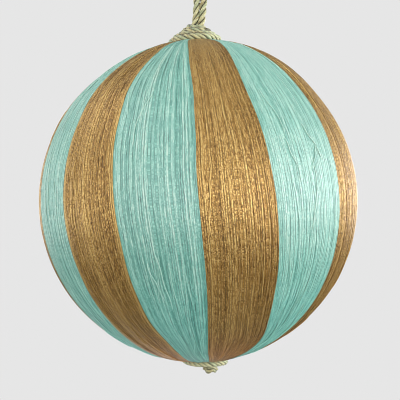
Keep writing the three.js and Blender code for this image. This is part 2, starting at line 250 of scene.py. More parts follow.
# ------------------------------------------------------------------ materials
class Tree:
    """Short calls for building a node tree; a value may be a number, a colour or a socket."""

    def __init__(self, owner):
        owner.use_nodes = True
        self.tree = owner.node_tree
        self.tree.nodes.clear()

    def fill(self, node, inputs):
        for key, value in inputs.items():
            socket = node.inputs[key]
            if isinstance(value, bpy.types.NodeSocket):
                self.tree.links.new(value, socket)
            else:
                socket.default_value = (*value, 1) if isinstance(value, tuple) else value

    def node(self, kind, inputs=None, **settings):
        node = self.tree.nodes.new("ShaderNode" + kind)
        for key, value in settings.items():
            setattr(node, key, value)
        self.fill(node, inputs or {})
        return node

    def attr(self, name):
        return self.node("Attribute", attribute_name=name).outputs["Fac"]

    def math(self, operation, *values, clamp=False):
        inputs = dict(enumerate(values))
        return self.node("Math", inputs, operation=operation, use_clamp=clamp).outputs[0]

    def add(self, *values, clamp=False):
        return self.math("ADD", *values, clamp=clamp)

    def mul(self, *values, clamp=False):
        return self.math("MULTIPLY", *values, clamp=clamp)

    def scale_add(self, value, scale, offset):
        return self.math("MULTIPLY_ADD", value, scale, offset)

    def centred(self, value, span):
        """A 0 to 1 value spread over span, evenly about zero."""
        return self.scale_add(value, span, -span / 2)

    def xyz(self, x, y, z):
        return self.node("CombineXYZ", {0: x, 1: y, 2: z}).outputs[0]

    def noise(self, vector, scale=1.0, detail=2.0, rough=0.5):
        settings = {"Scale": scale, "Detail": detail, "Roughness": rough, "Vector": vector}
        return self.node("TexNoise", settings).outputs["Fac"]

    def stretched_noise(self, *axes, **settings):
        """Noise over three axes, each a (value, scale) pair or a fixed offset."""
        axes = [self.mul(*axis) if isinstance(axis, tuple) else axis for axis in axes]
        return self.noise(self.xyz(*axes), **settings)

    def white(self, x, y, z):
        inputs = {"Vector": self.xyz(x, y, z)}
        return self.node("TexWhiteNoise", inputs, noise_dimensions="3D").outputs["Value"]

    def ramp(self, factor, stops, mode="LINEAR"):
        node = self.node("ValToRGB", {0: factor})
        node.color_ramp.interpolation = mode
        elements = node.color_ramp.elements
        while len(elements) < len(stops):
            elements.new(0.5)
        for k, (position, colour) in enumerate(stops):
            elements[k].position = position
            elements[k].color = (*colour, 1)
        return node.outputs["Color"]

    def mix(self, factor, below, above, blend="MIX"):
        inputs = {"Factor": factor, 6: below, 7: above}
        settings = {"data_type": "RGBA", "blend_type": blend, "clamp_factor": True}
        return self.node("Mix", inputs, **settings).outputs[2]

    def bump(self, height, distance, strength):
        inputs = {"Distance": distance, "Strength": strength, "Height": height}
        return self.node("Bump", inputs).outputs[0]


def new_material(name):
    material = bpy.data.materials.new(name)
    tree = Tree(material)
    output = tree.node("OutputMaterial")
    principled = tree.node("BsdfPrincipled")
    tree.fill(output, {"Surface": principled.outputs[0]})
    return material, tree, principled


def srgb(*levels):
    """A linear colour from 0 to 255 display levels."""
    linear = lambda c: c / 12.92 if c <= 0.04045 else ((c + 0.055) / 1.055) ** 2.4
    return tuple(linear(level / 255) for level in levels)


def thread_material(name, colours, valley, tint_and_painted_light, *, metallic, rough, sheen, specular,
                    dash, spark, twist, runs, grains):
    """Wound thread, its plies showing as short dashes, each with its own shade and tilt.
    Attributes: tone, the thread's own shade; across, -1 to 1 over its width; along, mm along
    it; tid, its number; deep, 0 on the crest to 1 in the groove, where shade is painted; low,
    0 above to 1 underneath. colours: dark, middle, light; valley: the painted shade colour in
    the grooves; dye: colour multiplier stops over low, an overall tint with painted light and
    shade by height; dash, grains, runs: shade strength of the dashes, fine grain and long runs,
    dash also setting the painted shade between dashes; spark: how unevenly the dashes tilt and
    shine; twist: mm of thread to a dash."""
    material, tree, principled = new_material(name)
    keys = ("tone", "across", "along", "tid", "deep")
    tone, across, along, tid, deep = (tree.attr(key) for key in keys)

    # dashes: each thread starts at its own place and drifts; its two plies lie side by side,
    # half a turn apart
    own = tree.white(tid, 3.7, 0.0)
    drift = tree.stretched_noise((along, 0.28), (tid, 5.7), 0.3, rough=0.6)
    start = tree.add(tree.mul(own, 9.0), tree.mul(drift, 3.0))
    turns = tree.add(tree.math("DIVIDE", along, twist), start)
    ply = tree.math("GREATER_THAN", across, 0.0)
    turns = tree.scale_add(across, 0.3, tree.scale_add(ply, 0.5, turns))  # 0.3 slants them
    cell, within = tree.math("FLOOR", turns), tree.math("FRACT", turns)
    row = tree.scale_add(ply, 0.5, tid)
    dash_shade, dash_tilt = tree.white(cell, row, 0.5), tree.white(cell, row, 8.5)
    arch = tree.math("SINE", tree.mul(within, math.pi), clamp=True)
    hump = tree.math("POWER", arch, 0.6)

    # noise from fine to broad
    fibre = tree.stretched_noise((across, 1.9), (along, 0.55), (tid, 7.3),
                                 scale=1.3, detail=3.0, rough=0.62)
    run = tree.stretched_noise((along, 0.16), (tid, 3.3), 4.1, rough=0.55)
    patch = tree.stretched_noise((tid, 0.16), (along, 0.03), 1.7)
    grain = tree.stretched_noise((across, 1.15), (along, 2.7), (tid, 9.1), detail=1.0, rough=0.6)

    # shade about the middle colour, each part with its strength
    shade = tree.scale_add(tone, 0.13, 0.5)
    for part, strength in ((grain, grains), (dash_shade, dash), (fibre, 0.5), (run, runs)):
        shade = tree.add(shade, tree.centred(part, strength))
    shade = tree.add(shade, tree.centred(patch, 0.3), clamp=True)
    colour = tree.ramp(shade, list(zip((0.1, 0.5, 0.9), colours)))
    # painted shade: the grooves between dashes and along each thread's edges are darkened towards the valley
    # colour
    between = tree.scale_add(hump, -dash, dash)
    groove_shade_mask = tree.math("MAXIMUM", tree.mul(deep, 0.9), between, clamp=True)
    colour = tree.mix(groove_shade_mask, colour, valley)
    # overall tint, with painted light and shade by height over low
    colour = tree.mix(1.0, colour, tree.ramp(tree.attr("low"), tint_and_painted_light), "MULTIPLY")

    # roughness varies by dash and rises in the grooves
    dash_rough = tree.scale_add(dash_tilt, -spark * 0.3, rough + spark * 0.15)
    tilt = tree.mul(tree.scale_add(dash_tilt, 2.0, -1.0), within)
    raised = tree.scale_add(hump, 0.5, tree.mul(tilt, spark))
    height = tree.add(tree.mul(fibre, 0.5), raised)
    tree.fill(principled, {
        "Base Color": colour,
        "Metallic": metallic,
        "Specular IOR Level": specular,
        "Roughness": tree.add(dash_rough, tree.mul(deep, 0.15), clamp=True),
        "Sheen Weight": sheen,
        "Sheen Roughness": 0.35,
        "Sheen Tint": colours[2],
        "Normal": tree.bump(height, distance=0.00009, strength=0.9),
    })
    return material


def cord_material(name):
    """Twisted cord. Attributes: yarn, its colour choice 0 to 1; tone, its shade; along and
    across, place on the ply; deep, how far down between plies, where shade is painted."""
    material, tree, principled = new_material(name)
    keys = ("yarn", "tone", "along", "across", "deep")
    yarn, tone, along, across, deep = (tree.attr(key) for key in keys)
    colour = tree.ramp(yarn, [
        (0.0, srgb(150, 182, 156)),
        (0.3, srgb(176, 184, 146)),
        (0.55, srgb(204, 200, 156)),
        (0.8, srgb(186, 172, 118)),
        (1.0, srgb(168, 132, 78)),
    ])
    fibre = tree.stretched_noise((across, 9.0), (along, 2.0), (yarn, 11.0),
                                 scale=1.2, detail=3.0, rough=0.6)
    # from a darker to a paler mix of the yarn's colour, mostly by fibre
    lift = tree.add(tree.mul(tone, 0.2), tree.scale_add(fibre, 0.8, 0.1), clamp=True)
    darker = tree.mix(0.5, colour, srgb(88, 82, 46))
    paler = tree.mix(0.35, colour, srgb(240, 236, 206))
    colour = tree.mix(lift, darker, paler)
    # painted shade: near black down between plies and yarns and in the grooves of a coil
    colour = tree.mix(tree.mul(deep, 1.0, clamp=True), colour, srgb(36, 29, 13))
    overall_tint = (0.67, 0.665, 0.56)
    tree.fill(principled, {
        "Base Color": tree.mix(1.0, colour, overall_tint, "MULTIPLY"),
        "Metallic": 0.1,
        "Roughness": tree.scale_add(fibre, -0.3, 0.68),
        "Sheen Weight": 0.2,
        "Normal": tree.bump(fibre, distance=0.00004, strength=0.9),
    })
    return material


def plain_material(name, dark, light, rough, scale, stretch=(1, 1, 1)):
    """A mottled surface; roughness varies by 0.1 either side of rough."""
    material, tree, principled = new_material(name)
    position = tree.node("TexCoord").outputs["Object"]
    mapping = tree.node("Mapping", {"Vector": position, "Scale": Vector(stretch)})
    mottle = tree.noise(mapping.outputs[0], scale=scale, detail=4.0, rough=0.6)
    tree.fill(principled, {
        "Base Color": tree.ramp(mottle, [(0.3, dark), (0.7, light)]),
        "Roughness": tree.scale_add(mottle, 0.2, rough - 0.1),
        "Normal": tree.bump(mottle, distance=0.0001, strength=0.5),
    })
    return material


# colour multipliers from the top (0) to the underside (1): an overall tint of the thread, with painted light
# and shade by height, the hue shifting with height and the very underside painted brighter
MINT_TINT_AND_PAINTED_LIGHT = [
    (0.0, (1.3, 0.93, 0.885)), (0.27, (1.17, 0.93, 0.885)), (0.45, (1.092, 0.977, 0.938)),
    (0.64, (1.092, 1.051, 1.009)), (0.82, (1.092, 1.116, 1.062)), (1.0, (1.235, 1.209, 1.151)),
]
GOLD_TINT_AND_PAINTED_LIGHT = [
    (0.0, (1.28, 0.935, 0.86)), (0.27, (1.229, 0.888, 0.791)), (0.64, (1.229, 0.898, 0.808)),
    (0.82, (1.357, 0.907, 0.826)), (1.0, (1.792, 1.075, 0.963)),
]
mint = thread_material(
    "mint_thread",
    colours=(srgb(61, 135, 124), srgb(99, 173, 161), srgb(147, 203, 192)),
    valley=srgb(12, 59, 53), tint_and_painted_light=MINT_TINT_AND_PAINTED_LIGHT, metallic=0.0, rough=0.46, sheen=0.3, specular=1.0,
    dash=0.35, spark=0.25, twist=1.0, runs=0.9, grains=1.5,
)
gold = thread_material(
    "gold_thread",
    colours=(srgb(89, 73, 29), srgb(146, 127, 63), srgb(186, 182, 118)),
    valley=srgb(33, 23, 6), tint_and_painted_light=GOLD_TINT_AND_PAINTED_LIGHT, metallic=0.5, rough=0.42, sheen=0.0, specular=0.5,
    dash=0.5, spark=0.9, twist=0.8, runs=0.5, grains=2.6,
)
cord_mat = cord_material("twisted_cord")
core_mat = plain_material(
    "core_shell", srgb(205, 200, 188), srgb(224, 220, 208), rough=0.6, scale=900
)
tube_mat = plain_material(
    "bore_tube", srgb(160, 128, 88), srgb(188, 158, 116), rough=0.85, scale=500, stretch=(1, 1, 4)
)

# ------------------------------------------------------------------ the winding
PITCH = 0.62  # thread spacing at the equator
THREAD_W = 0.6
THREAD_H = 0.13  # height above the groove's foot
COLUMNS = 6  # mesh columns a thread at the equator
CORE_COLUMNS = 6  # mesh columns across a band's core side
FLAT_BAND = 4  # one hank is wound tighter and flatter
TONE_SPREAD = {2: 1.2, FLAT_BAND: 0.6}  # bands with more or less shade variation

# (radius, height) round the upper lip, from the bore out
LIP = [(LINING_R, LINING_TOP), (3.4, 47.8), (4.3, 49.6), (6.0, 50.45), (8.2, 50.3)]
LIP_CORE = [(LINING_R_OUT, z) for z in (42.9, 43.9, 44.9)] + [(7.95, 45.9), (8.7, 46.6)]


def winding(angle, top):
    """Sphere radii of the winding's exposed and core sides, angle degrees from the pole."""
    surface = BALL_R + np.interp(angle, RISE_ANGLE, RISE_TOP if top else RISE_BOTTOM)
    from_axis = np.maximum(8, surface * np.sin(np.radians(angle)))
    return surface, surface - (WIND_BASE + WIND_PILE * BALL_R / from_axis)


def sphere_point(lat):
    """(radius, height) of the exposed and core sides at a latitude."""
    across, up = math.cos(math.radians(lat)), math.sin(math.radians(lat))
    return [(radius * across, radius * up) for radius in winding(90 - abs(lat), lat > 0)]


def loop_path():
    """Rows round a hank's loop, up the bore, down the outside and back: exposed side, core
    side, latitude for its edges, and how far up the bore it is (-1 outside it)."""
    rows = []

    def lip(keys, core_keys, kept, lat, bore):
        sides = (curve_through(side, 6)[kept] for side in (keys, core_keys))
        rows.extend((outer, core, lat, bore) for outer, core in zip(*sides))

    for part in np.linspace(0, 1, 6)[:-1]:
        outer, core = (LINING_R, LINING_TOP * part), (LINING_R_OUT, LINING_TOP_OUT * part)
        rows.append((outer, core, 80, 0.5 + 0.5 * part))

    # the end keys only steer the curves, and their segments are cut away
    beyond, core_beyond = zip(*[sphere_point(lat) for lat in (78, 75)])
    lip([(LINING_R, 43.0), *LIP, *beyond], [(LINING_R_OUT, 41.5), *LIP_CORE, *core_beyond],
        slice(6, -7), 80, 1.0)
    for lat in np.linspace(78, -78, 176):
        rows.append((*sphere_point(lat), lat, -1))
    beyond, core_beyond = zip(*[sphere_point(lat) for lat in (-75, -78)])
    low = [(radius, -z + LOWER_LIP_RISE) for radius, z in reversed(LIP)]
    core_low = [(radius, -z) for radius, z in reversed(LIP_CORE)]
    lip([*beyond, *low, (LINING_R, -42.5)], [*core_beyond, *core_low, (LINING_R_OUT, -41.5)],
        slice(7, -6), -80, 0.0)

    bottom = -LINING_TOP + LOWER_LIP_RISE
    for part in np.linspace(1, 0, 6)[1:-1]:
        outer, core = (LINING_R, bottom * part), (LINING_R_OUT, -LINING_TOP_OUT * part)
        rows.append((outer, core, -80, 0.5 - 0.5 * part))
    return [np.array(column, float) for column in zip(*rows)]


OUTER, CORE_SIDE, LAT, BORE = loop_path()
ROWS = len(OUTER)
TANGENT = unit(np.roll(OUTER, -1, 0) - np.roll(OUTER, 1, 0))
NORMAL = np.stack([-TANGENT[:, 1], TANGENT[:, 0]], 1)
ALONG = distance_along(OUTER)

edge_rng = np.random.RandomState(31)
EDGE_WAVE = wander(edge_rng, BANDS, ALONG, 9.0) * 0.07 + wander(edge_rng, BANDS, ALONG, 26.0) * 0.12
EDGE_WAVE = np.vstack([EDGE_WAVE, EDGE_WAVE[:1]])  # the last edge meets the first


def edge_row(edge):
    """Longitude of an edge on every row."""
    longitude = edge_at(edge, LAT)
    top, bottom = EDGES[edge][-1], EDGES[edge][0]
    inside = BORE >= 0
    longitude[inside] = bottom + (top - bottom) * BORE[inside]
    wave = np.degrees(EDGE_WAVE[edge] / np.maximum(OUTER[:, 0], 6))
    return longitude + wave * (np.abs(LAT) <= 75)


def lowness(lat):
    """How far a latitude is towards the underside, 0 to 1."""
    return np.clip((-lat - 10) / 55, 0, 1)


def lay_threads(rng, count, width, lap, crossings):
    """Each thread's middle across the band and its height on every row, mm."""
    full = float(width.max())
    share = (np.arange(count) + 0.5)[:, None] / count + rng.normal(size=(count, 1)) * 0.16 / count
    side = wander(rng, count, ALONG, 22.0) * (0.05 + 0.04 * np.clip(lap - 1, 0, 5))
    side = side + wander(rng, count, ALONG, 4.0) * 0.05
    middle = share * width[None] + side * np.minimum(1, width[None] / full + 0.25)
    rank = wander(rng, count, ALONG, 20.0) * 0.5 + wander(rng, count, ALONG, 5.0) * 0.5
    rank = rank + rng.normal(size=(count, 1)) * 0.3
    height = np.clip(rank, -1.8, 1.8) * (0.014 + 0.02 * np.clip(lap - 1, 0, 4))[None]
    # a few threads laid across their neighbours
    for _ in range(crossings):
        thread = rng.randint(3, count - 3)
        centre = rng.uniform(60, ALONG[-1] - 60)
        drift = (1 if rng.rand() < 0.5 else -1) * rng.uniform(0.8, 2.4)
        step = smooth((ALONG - centre) / rng.uniform(22, 45) + 0.5) - 0.5
        middle[thread] += drift * step * width / full
        height[thread] += 0.07 * np.exp(-(((ALONG - centre) / 26) ** 2))
    return middle, height


def topmost(across_mm, middle, height, half, relief):
    """At every mesh point: the highest surface, its thread and the place across that thread."""
    best = np.full(across_mm.shape, -9.0)
    who = np.zeros(across_mm.shape, int)
    across = np.zeros(across_mm.shape)
    for thread in range(len(half)):
        offset = (across_mm - middle[thread][:, None]) / half[thread]
        level = height[thread][:, None] + relief * np.sqrt(np.clip(1 - offset * offset, 0, 1))
        level[np.abs(offset) >= 1] = -9
        win = level > best
        best[win] = level[win]
        who[win] = thread
        across[win] = offset[win]
    return np.maximum(best, -0.02), who, across


def band(index):
    """One hank: a closed loop of threads, out round the ball and back through the bore."""
    rng = np.random.RandomState(100 + index)
    is_mint = index % 2 == 0
    colour = "mint" if is_mint else "gold"
    name = f"{colour}_band_{index // 2 + 1}"
    start, end = edge_row(index)[:, None], edge_row(index + 1)[:, None]
    width = (np.radians(end - start) * OUTER[:, :1])[:, 0]  # mm across the band on each row
    count = int(round(float(width.max()) / PITCH))
    lap = count * THREAD_W / np.maximum(width, 0.5)  # how many threads deep the row is
    middle, height = lay_threads(rng, count, width, lap, crossings=4 if is_mint else 3)
    flat = index == FLAT_BAND
    relief = THREAD_H * (0.65 if flat else 1.0 if is_mint else 1.15)
    half = THREAD_W / 2 * (1 + rng.normal(size=count) * 0.07)
    columns = count * COLUMNS + 1
    share = np.linspace(0, 1, columns)[None]
    best, who, across = topmost(share * width[:, None], middle, height, half, relief)
    crest = np.sqrt(np.maximum(0, 1 - np.clip(across, -1, 1) ** 2))
    # painted shade: deep is 0 on a thread's crest and 1 at its edges, where the material darkens the groove
    deep = np.clip(1.45 - crest * 1.55, 0, 1) * (0.95 if flat else 1.0)

    lift = best - THREAD_H - 0.02 * np.clip(lap - 1, 0, 4)[:, None]
    radius, z = (OUTER[:, k][:, None] + NORMAL[:, k][:, None] * lift for k in (0, 1))
    outer = place(radius, start + share * (end - start), z)
    back = np.linspace(1, 0, CORE_COLUMNS)[None]
    core = place(CORE_SIDE[:, :1], start + back * (end - start), CORE_SIDE[:, 1:])
    grid = np.concatenate([outer, core], 1)
    sides = grid.shape[1]
    verts = grid.reshape(-1, 3)
    edges_u = np.concatenate([
        np.linspace(0.01, 0.93, columns), np.linspace(0.95, 0.985, CORE_COLUMNS), [0.995]
    ])
    edges_v = (np.arange(ROWS + 1) / ROWS)[:, None]
    uvs = tube_uvs(edges_u[:-1], edges_u[1:], edges_v[:-1], edges_v[1:])
    order = [0, 3, 2, 1]  # corners run along the thread first
    quads, uvs = face_out(verts, tube_quads(ROWS, sides, closed=True)[:, order], uvs[:, order])

    tones = np.clip(rng.normal(size=count), -2, 2) * TONE_SPREAD.get(index, 1.0)
    # threads on the exposed side, one fill value on the core side
    pad = lambda values, fill: np.concatenate([values, np.full((ROWS, CORE_COLUMNS), fill)], 1)
    attributes = {
        "tone": pad(tones[who], 0),
        "across": pad(across, 0),
        "along": pad(np.repeat(ALONG[:, None], columns, 1), 0),
        "tid": pad(who + 50.0 * index, 0),
        "deep": pad(deep, 0.4),
        "low": np.repeat(lowness(LAT), sides),
    }
    material = mint if is_mint else gold
    piece = mesh_object(name + "_wound", verts, quads, uvs, material, attributes)
    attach(piece, "ball")
    label(name)


for k in range(BANDS):
    band(k)

# ------------------------------------------------------------------ loose strands on the winding
STRAND_SIDES = 6


def strand_path(rng, index):
    """A strand's path across part of a band, its latitudes and its radius."""
    mid = rng.uniform(-66, -22) if rng.rand() < 0.68 else rng.uniform(-5, 66)
    span = rng.uniform(9, 26)
    mid = float(np.clip(mid, span / 2 - 76, 76 - span / 2))
    lat = np.linspace(mid - span / 2, mid + span / 2, int(span * 1.6) + 6)
    from_share = rng.uniform(0.08, 0.92)
    shift = rng.choice([-1, 1]) * rng.uniform(0.03, 0.16)
    to_share = np.clip(from_share + shift, 0.04, 0.96)
    part = (lat - lat[0]) / (lat[-1] - lat[0])
    ripple = 0.008 * np.sin(part * rng.uniform(6, 14) + rng.uniform(0, 6))
    share = from_share + (to_share - from_share) * smooth(part) + ripple
    start, end = edge_at(index, lat), edge_at(index + 1, lat)
    thick = rng.uniform(0.10, 0.15)
    # both ends dive into the winding
    lift = 0.02 + thick * 0.6 - 0.30 * np.exp(-part / 0.05) - 0.30 * np.exp(-(1 - part) / 0.05)
    radius = np.array([winding(90 - abs(angle), angle > 0)[0] for angle in lat]) + lift
    across, up = np.cos(np.radians(lat)), np.sin(np.radians(lat))
    return place(radius * across, start + share * (end - start), radius * up), lat, thick


def strays(name, bands, per_band, material, seed):
    rng = np.random.RandomState(seed)
    all_verts, all_quads, all_uvs, all_attributes = [], [], [], []
    base, total = 0, per_band * len(bands)
    around = np.linspace(0, 2 * math.pi, STRAND_SIDES, endpoint=False)
    side = np.arange(STRAND_SIDES)
    for number in range(total):
        path, lat, thick = strand_path(rng, bands[number // per_band])
        _, normal, binormal = frames_along(path)
        out = (np.cos(around)[None, :, None] * normal[:, None]
               + np.sin(around)[None, :, None] * binormal[:, None])
        verts = (path[:, None] + thick * out).reshape(-1, 3)
        rings = len(path)
        row = np.arange(rings - 1)[:, None]
        left, right = ((number + 0.1 + 0.8 * edge / STRAND_SIDES) / total
                       for edge in (side, side + 1))
        bottom, top = (0.02 + 0.96 * edge / (rings - 1) for edge in (row, row + 1))
        last = (rings - 1) * STRAND_SIDES
        first_cap = np.array([(0, 3, 2, 1), (0, 5, 4, 3)])
        last_cap = last + np.array([(0, 1, 2, 3), (0, 3, 4, 5)])
        quads = np.vstack([tube_quads(rings, STRAND_SIDES), first_cap, last_cap])
        cap_uvs = np.tile([[[number + 0.5, 0.004]]], (4, 4, 1)) / [total, 1]
        uvs = np.concatenate([tube_uvs(left, right, bottom, top), cap_uvs])
        quads, uvs = face_out(verts, quads, uvs)
        all_verts.append(verts)
        all_quads.append(quads + base)
        all_uvs.append(uvs)
        base += len(verts)
        all_attributes.append({
            "tone": np.full(len(verts), rng.uniform(1.5, 4.0)),
            "across": np.tile(np.cos(around) * 0.8, rings),
            "along": np.repeat(distance_along(path), STRAND_SIDES),
            "tid": np.full(len(verts), rng.randint(1000, 3000)),
            "deep": np.zeros(len(verts)),
            "low": np.repeat(lowness(lat), STRAND_SIDES),
        })
    attributes = {k: np.concatenate([at[k] for at in all_attributes]) for k in all_attributes[0]}
    piece = mesh_object(name, np.vstack(all_verts), np.vstack(all_quads),
                        np.concatenate(all_uvs), material, attributes)
    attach(piece, "ball")
    label()


strays("mint_loose_strands", range(0, BANDS, 2), 13, mint, seed=61)
strays("gold_loose_strands", range(1, BANDS, 2), 5, gold, seed=62)

# ------------------------------------------------------------------ twisted cord
YARNS = 6  # in each of the three plies
YARN_COLOURS = np.array([  # a row per ply: each yarn's place on the colour ramp
    [0.12, 0.22, 0.4, 0.15, 0.3, 0.25],
    [0.6, 0.66, 0.55, 0.8, 0.6, 0.5],
    [0.35, 0.45, 0.25, 0.85, 0.4, 0.55],
])
YARN_TONES = np.array([0.3, -0.4, 0.7, -0.1, 0.4, -0.7])


def twist_plies(path, radius, lay, rng, sides, valley=None, closed=False):
    """The three plies of a cord along a path, lay mm to a turn: (rings of vertices,
    attributes) for each. valley points from each turn of a coil to its neighbours."""
    length = distance_along(path)
    _, normal, binormal = frames_along(path)
    turn = 2 * math.pi * length / lay
    if closed:  # join up: the frame's own turning and a whole number of thirds of a turn
        total = length[-1] + np.linalg.norm(path[0] - path[-1])
        miss = math.atan2(float(normal[-1] @ binormal[0]), float(normal[-1] @ normal[0]))
        turns = max(1, round(3 * total / lay)) / 3.0
        turn = (2 * math.pi * turns - miss) * length / total
    # the yarns twist against the ply
    spin = (-2 * math.pi * length / (lay * 0.8))[:, None]
    angle = np.tile(np.linspace(0, 2 * math.pi, sides, endpoint=False), (len(path), 1))
    lobe = np.abs(np.cos((angle + spin) * YARNS / 2))
    index = np.floor(((angle + spin) * YARNS / (2 * math.pi)) + 0.5).astype(int) % YARNS
    wobble = 0 if closed else 0.10
    plies = []
    for ply in range(3):
        bearing = turn + ply * 2 * math.pi / 3 + wobble * wander(rng, 1, length, 3.0)[0]
        out = np.cos(bearing)[:, None] * normal + np.sin(bearing)[:, None] * binormal
        centre = path + out * (radius * 0.50)
        # the ply's own direction leans with the lay
        lean_dir = unit(np.gradient(centre, axis=0))
        outward = unit(out - np.einsum("ij,ij->i", out, lean_dir)[:, None] * lean_dir)
        sideways = np.cross(lean_dir, outward)
        size = radius * 0.5 * (0.95 + 0.06 * lobe)
        size = size * (1 + 0.03 * wander(rng, 1, length, 2.5)[0][:, None])
        size = size * (1 + 0.06 * np.cos(angle))
        ring = centre[:, None] + size[..., None] * (
            np.cos(angle)[..., None] * outward[:, None]
            + np.sin(angle)[..., None] * sideways[:, None] * 1.06
        )
        fade = 0.10 * wander(rng, 1, length, 6.0)[0][:, None]
        # painted shade: darker where each ply turns in towards the others and between its yarns, and on a
        # coil in the groove between two turns
        deep = np.clip(0.70 - 0.9 * np.cos(angle), 0, 1) + (1 - lobe) * 0.15
        if valley is not None:  # the groove between two turns of a coil
            side = np.abs(np.einsum("ijk,ik->ij", (ring - path[:, None]) / radius, valley))
            deep = np.maximum(deep, 0.95 * smooth((side - 0.6) / 0.36))
        plies.append((ring, {
            "yarn": np.clip(YARN_COLOURS[ply][index] + fade, 0, 1),
            "tone": YARN_TONES[(index + ply * 2) % YARNS],
            "deep": np.clip(deep, 0, 1),
            "along": np.repeat(length[:, None], sides, 1),
            "across": angle / (2 * math.pi),
        }))
    return plies


class CordMesh:
    """Collects ply tubes into one mesh."""

    def __init__(self):
        self.verts, self.quads, self.tris, self.count, self.tubes = [], [], [], 0, []
        self.attributes = {key: [] for key in ("yarn", "tone", "deep", "along", "across")}

    def add(self, plies, start=0, stop=None, closed=False):
        for rings, attributes in plies:
            rings = rings[start:stop]
            attributes = {key: values[start:stop] for key, values in attributes.items()}
            rows, sides = rings.shape[:2]
            flat = rings.reshape(-1, 3)
            quads = tube_quads(rows, sides, closed)
            turned = inside_out(flat, quads)
            self.verts.append(flat)
            self.quads.append((quads[:, ::-1] if turned else quads) + self.count)
            for key, values in attributes.items():
                self.attributes[key].append(values.ravel())
            end_caps = () if closed else ((0, True), (rows - 1, False))
            side = np.arange(sides)
            for cap, (row, flip) in enumerate(end_caps):
                self.verts.append(rings[row].mean(0)[None])
                for key, values in attributes.items():
                    self.attributes[key].append(values[row].mean(keepdims=True))
                middle = np.full(sides, self.count + rows * sides + cap)
                base = self.count + row * sides
                fan = np.stack([middle, base + side, base + (side + 1) % sides], 1)
                self.tris.append(fan[:, ::-1] if flip != turned else fan)
            aspect = distance_along(rings.mean(1))[-1] / distance_along(rings[0])[-1]
            face_rows = rows if closed else rows - 1
            self.tubes.append((face_rows, sides, turned, closed, aspect))
            self.count += rows * sides + len(end_caps)

    def unwrap(self):
        """Every ply laid out as straight strips side by side, long ones cut into several."""
        cuts = [max(1, round(math.sqrt(aspect / len(self.tubes)))) for *_, aspect in self.tubes]
        total, first, quads, caps = sum(cuts), 0, [], []
        for (rows, sides, turned, closed, _), strips in zip(self.tubes, cuts):
            size = math.ceil(rows / strips)
            across = lambda part, side: (first + part + 0.06 + 0.88 * side / sides) / total
            up = lambda part, row: 0.01 + 0.98 * (row - part * size) / size
            row, side = np.arange(rows)[:, None], np.arange(sides)
            part = row // size
            uvs = tube_uvs(across(part, side), across(part, side + 1),
                           up(part, row), up(part, row + 1))
            quads.append((uvs[:, ::-1] if turned else uvs).reshape(-1, 2))
            for end, flip, tip in () if closed else ((0, True, -0.006), (rows, False, 0.006)):
                part = min(end // size, strips - 1)
                fan = np.empty((sides, 3, 2))
                fan[..., 1] = up(part, end)
                fan[:, 0, 0] = (first + part + 0.5) / total
                fan[:, 0, 1] += tip
                fan[:, 1, 0], fan[:, 2, 0] = across(part, side), across(part, side + 1)
                caps.append((fan[:, ::-1] if flip != turned else fan).reshape(-1, 2))
            first += strips
        return np.vstack(quads + caps)

    def make(self, name):
        attributes = {key: np.concatenate(values) for key, values in self.attributes.items()}
        tris = np.vstack(self.tris) if self.tris else ()
        return mesh_object(name, np.vstack(self.verts), np.vstack(self.quads), self.unwrap(),
                           cord_mat, attributes, tris)


# ------------------------------------------------------------------ the doubled cord
# Heights here are mm from the hang point.
CORD_R = 1.14  # one leg's radius
CORD_LAY = 8.4
HEAD_FOOT = -12.6  # where the loop's head ends and the two legs start
CORD_PIECES = [  # name, bottom, top, body or two bodies, heights blended between, node replaced
    ("loop_head_cord", HEAD_FOOT, math.inf, ("loop",), None, "loop_head"),
    ("cord_side_bend", -19.9, HEAD_FOOT, ("loop", "link"), (-13, -19), "cord_link"),
    ("cord_front_bend", -27.2, -19.9, ("link", "upper_cord"), (-21, -27), "cord_upper"),
    ("cord_twist_length", -47.0, -27.2, ("upper_cord", "lower_cord"), (-28, -46), "cord_lower"),
    ("cord_neck", -60.9, -47.0, ("lower_cord", "ball"), (-53.0, -60.0), None),
    ("cord_through_bore", -169, -60.9, ("ball",), None, "cord_inner"),
]
# sideways lean of the cord's middle line by height
LEAN_Z = [-175, -64, -62, -61, -60, -59, -57.8, -56, -52.8, -48, -42, -34, -30, -27, -24.5, -10, 5]
LEAN_X = [0, 0, 0.12, 0.38, 0.7, 1.0, 1.28, 1.5, 1.85, 2.2, 2.1, 1.2, 0.7, 0.3, 0, 0, 0]
# half the distance between the legs by height
GAP_Z = [-175, -64, -60.5, -58, -52.8, -44, -34, -24, -16, -13]
GAP_X = [0.98, 0.92, 0.9, 0.96, 1.07, 1.1, 1.08, 1.05, 1.0, 1.0]
HEAD = [  # the loop's head from the left leg round to the right one: x, y, z
    (-1.0, 0, -13.0), (-1.7, 0.05, -11.2), (-3.5, 0.1, -8.0), (-4.75, 0.05, -4.4),
    (-4.2, 0, -1.2), (-2.2, 0, 0.72), (0, 0, 0.98), (2.2, 0, 0.72), (4.2, 0, -1.2),
    (4.75, -0.05, -4.4), (3.5, -0.1, -8.0), (1.7, -0.05, -11.2), (1.0, 0, -13.0),
]


def cord_path():
    """From the bottom of the bore up, round the loop's head and back down, as one path."""
    fine_z = np.arange(-175, 5, 0.1)
    padded = np.pad(np.interp(fine_z, LEAN_Z, LEAN_X), 10, mode="edge")
    fine_x = np.convolve(padded, np.ones(21) / 21, "valid")  # softens the table's corners
    z = np.concatenate([np.linspace(-168.2, -62, 330)[:-1], np.arange(-62, -13.0, 0.13)])
    lean, gap = np.interp(z, fine_z, fine_x), np.interp(z, GAP_Z, GAP_X)
    left = np.stack([lean - gap, 0.10 * np.sin(z / 5.3), z], 1)
    right = np.stack([lean + gap, -0.10 * np.sin(z / 4.7), z], 1)[::-1]
    path = np.vstack([left[:-1], curve_through(HEAD, 26), right[1:]])
    path[:, 2] += HANG_Z
    return path


CORD = cord_path()
cord_plies = twist_plies(CORD, CORD_R, CORD_LAY, np.random.RandomState(5), sides=18)


